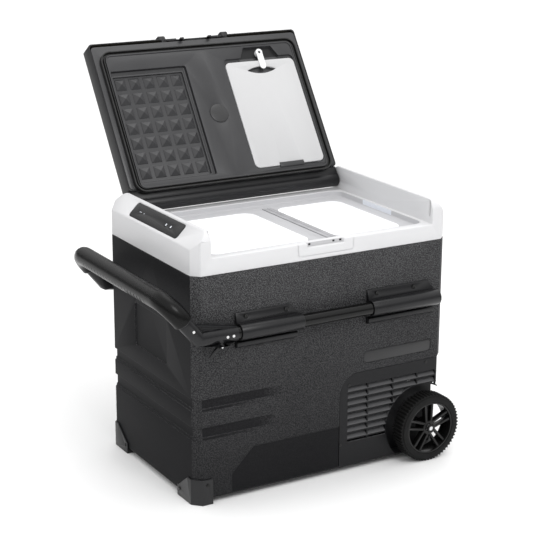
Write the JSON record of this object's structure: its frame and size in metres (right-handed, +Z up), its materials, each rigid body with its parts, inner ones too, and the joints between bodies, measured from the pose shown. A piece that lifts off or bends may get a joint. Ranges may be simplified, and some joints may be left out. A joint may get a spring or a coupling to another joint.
{
  "type": "compressor cooler fridge",
  "caption": "Wheeled portable compressor fridge with separate cooled tubs under a hinged lid, a pull-out tow handle, vented compressor bay and a cutting board in the lid.",
  "frame": {"origin": "on the floor, under the middle of the cabinet body in plan", "axes": "+X from the handle end to the wheel end, +Y to the hinge side, so the front faces -Y, +Z up"},
  "size_m": [0.6907, 0.6263, 0.841],
  "materials": {
    "shell_plastic": "pebbled dark grey polypropylene",
    "white_plastic": "satin white ABS",
    "tub_plastic": "smooth white food-safe liner",
    "pale_rubber": "pale grey soft seal",
    "foam": null,
    "copper": "bare copper tube",
    "base_plastic": "black moulded plastic",
    "sheet_steel": "galvanised sheet",
    "guard_plastic": "satin black moulding",
    "vent_plastic": "satin dark grey moulding",
    "badge_plastic": "smooth dark blank plate",
    "label_film": "blank pale label",
    "screw_black": "black-coated screws",
    "screw_steel": "zinc-plated screws",
    "axle_steel": "plain bright steel",
    "black_plastic": "black moulded plastic",
    "tyre_rubber": "black solid rubber with fine lugs",
    "rim_plastic": "black moulded plastic",
    "bracket_plastic": "satin dark moulding",
    "tube_paint": "gloss black coated tube",
    "grip_plastic": "satin black grip",
    "lever_plastic": "black moulded plastic",
    "lid_plastic": "satin black lid shell",
    "liner_plastic": "satin dark grey liner",
    "gasket_rubber": "black soft magnetic gasket",
    "lens_plastic": "smooth dark round cover",
    "latch_plastic": "black moulded plastic",
    "strike_plastic": "pale grey moulding",
    "board_plastic": "white polyethylene board",
    "clip_plastic": "white moulded clip",
    "display_gloss": "dark gloss panel",
    "circuit_board": "green circuit board",
    "compressor_paint": "black painted steel can",
    "foot_rubber": "black rubber mounts",
    "aluminium_fin": "bare fins",
    "rotor_plastic": "black fan blades",
    "module_aluminium": "ribbed case"
  },
  "bodies": {
    "cabinet": {"outer_shell": "shell_plastic", "top_frame": "white_plastic", "left_tub": "tub_plastic", "right_tub": "tub_plastic", "divider_seal": "pale_rubber", "foam_core": "foam", "left_evaporator": "copper", "right_evaporator": "copper", "base_plate": "base_plastic", "bay_bulkhead": "sheet_steel", "front_corner_guard": "guard_plastic", "rear_corner_guard": "guard_plastic", "front_vent_cover": "vent_plastic", "rear_vent_cover": "vent_plastic", "end_cover": "vent_plastic", "badge_plate": "badge_plastic", "blank_label": "label_film", "case_screws": "screw_black", "axle": "axle_steel", "axle_brackets": "base_plastic", "axle_spacers": "black_plastic", "axle_caps": "axle_steel", "front_rail_brackets": "bracket_plastic", "rear_rail_brackets": "bracket_plastic", "latch_strike": "strike_plastic", "hinge_pins": "axle_steel", "display_panel": "display_gloss", "control_board": "circuit_board", "compressor": "compressor_paint", "compressor_feet": "foot_rubber", "condenser": "aluminium_fin", "fan_frame": "black_plastic", "refrigerant_pipes": "copper", "power_module": "module_aluminium", "dc_inlet": "black_plastic"},
    "lid": {"lid_shell": "lid_plastic", "lid_liner": "liner_plastic", "lid_foam": "foam", "lid_gasket": "gasket_rubber", "lid_lens": "lens_plastic"},
    "latch": {"lid_latch": "latch_plastic"},
    "board": {"cutting_board": "board_plastic"},
    "clip": {"board_clip": "clip_plastic"},
    "handle": {"front_tube": "tube_paint", "rear_tube": "tube_paint", "front_elbow": "bracket_plastic", "rear_elbow": "bracket_plastic", "grip": "grip_plastic", "grip_underside": "grip_plastic", "handle_screws": "screw_steel", "lever_pins": "axle_steel"},
    "front_lever": {"front_release_lever": "lever_plastic"},
    "rear_lever": {"rear_release_lever": "lever_plastic"},
    "front_wheel": {"front_tyre": "tyre_rubber", "front_rim": "rim_plastic"},
    "rear_wheel": {"rear_tyre": "tyre_rubber", "rear_rim": "rim_plastic"},
    "fan": {"fan_rotor": "rotor_plastic"},
    "key_left": {"left_key": "display_gloss"},
    "key_right": {"right_key": "display_gloss"}
  },
  "joints": [
    {"name": "lid_hinge", "type": "hinge", "parent": "cabinet", "child": "lid", "pos_m": [0, 0.175, 0.5244], "axis": [1, 0, 0], "range_deg": [0, 124.35]},
    {"name": "latch_pivot", "type": "hinge", "parent": "lid", "child": "latch", "pos_m": [0, 0.38099, 0.82208], "axis": [-1, 0, 0], "range_deg": [0, 20], "stiffness_Nm_per_rad": 0.05, "springref_deg": -20.05},
    {"name": "board_slide", "type": "slide", "parent": "lid", "child": "board", "axis": [0, 0.5642, 0.8256], "range_m": [0, 0.0075]},
    {"name": "clip_turn", "type": "hinge", "parent": "lid", "child": "clip", "pos_m": [0.141, 0.32508, 0.7961], "axis": [0, -0.8256, 0.5642], "range_deg": [0, 90]},
    {"name": "handle_slide", "type": "slide", "parent": "cabinet", "child": "handle", "axis": [-1, 0, 0], "range_m": [0, 0.25]},
    {"name": "front_lever_pivot", "type": "hinge", "parent": "handle", "child": "front_lever", "pos_m": [-0.248, -0.211, 0.333], "axis": [0, 1, 0], "range_deg": [0, 20], "stiffness_Nm_per_rad": 0.02, "springref_deg": -20.05},
    {"name": "rear_lever_pivot", "type": "hinge", "parent": "handle", "child": "rear_lever", "pos_m": [-0.248, 0.211, 0.333], "axis": [0, 1, 0], "range_deg": [0, 20], "stiffness_Nm_per_rad": 0.02, "springref_deg": -20.05},
    {"name": "front_wheel_spin", "type": "hinge", "parent": "cabinet", "child": "front_wheel", "pos_m": [0.24, -0.212, 0.0735], "axis": [0, 1, 0], "continuous": true},
    {"name": "rear_wheel_spin", "type": "hinge", "parent": "cabinet", "child": "rear_wheel", "pos_m": [0.24, 0.212, 0.0735], "axis": [0, 1, 0], "continuous": true},
    {"name": "fan_spin", "type": "hinge", "parent": "cabinet", "child": "fan", "pos_m": [0.107, -0.148, 0.11], "axis": [0, 1, 0], "continuous": true},
    {"name": "left_key_press", "type": "slide", "parent": "cabinet", "child": "key_left", "axis": [0.7071, 0, -0.7071], "range_m": [0, 0.0005], "stiffness_N_per_m": 400, "springref_m": -0.0005},
    {"name": "right_key_press", "type": "slide", "parent": "cabinet", "child": "key_right", "axis": [0.7071, 0, -0.7071], "range_m": [0, 0.0005], "stiffness_N_per_m": 400, "springref_m": -0.0005}
  ]
}
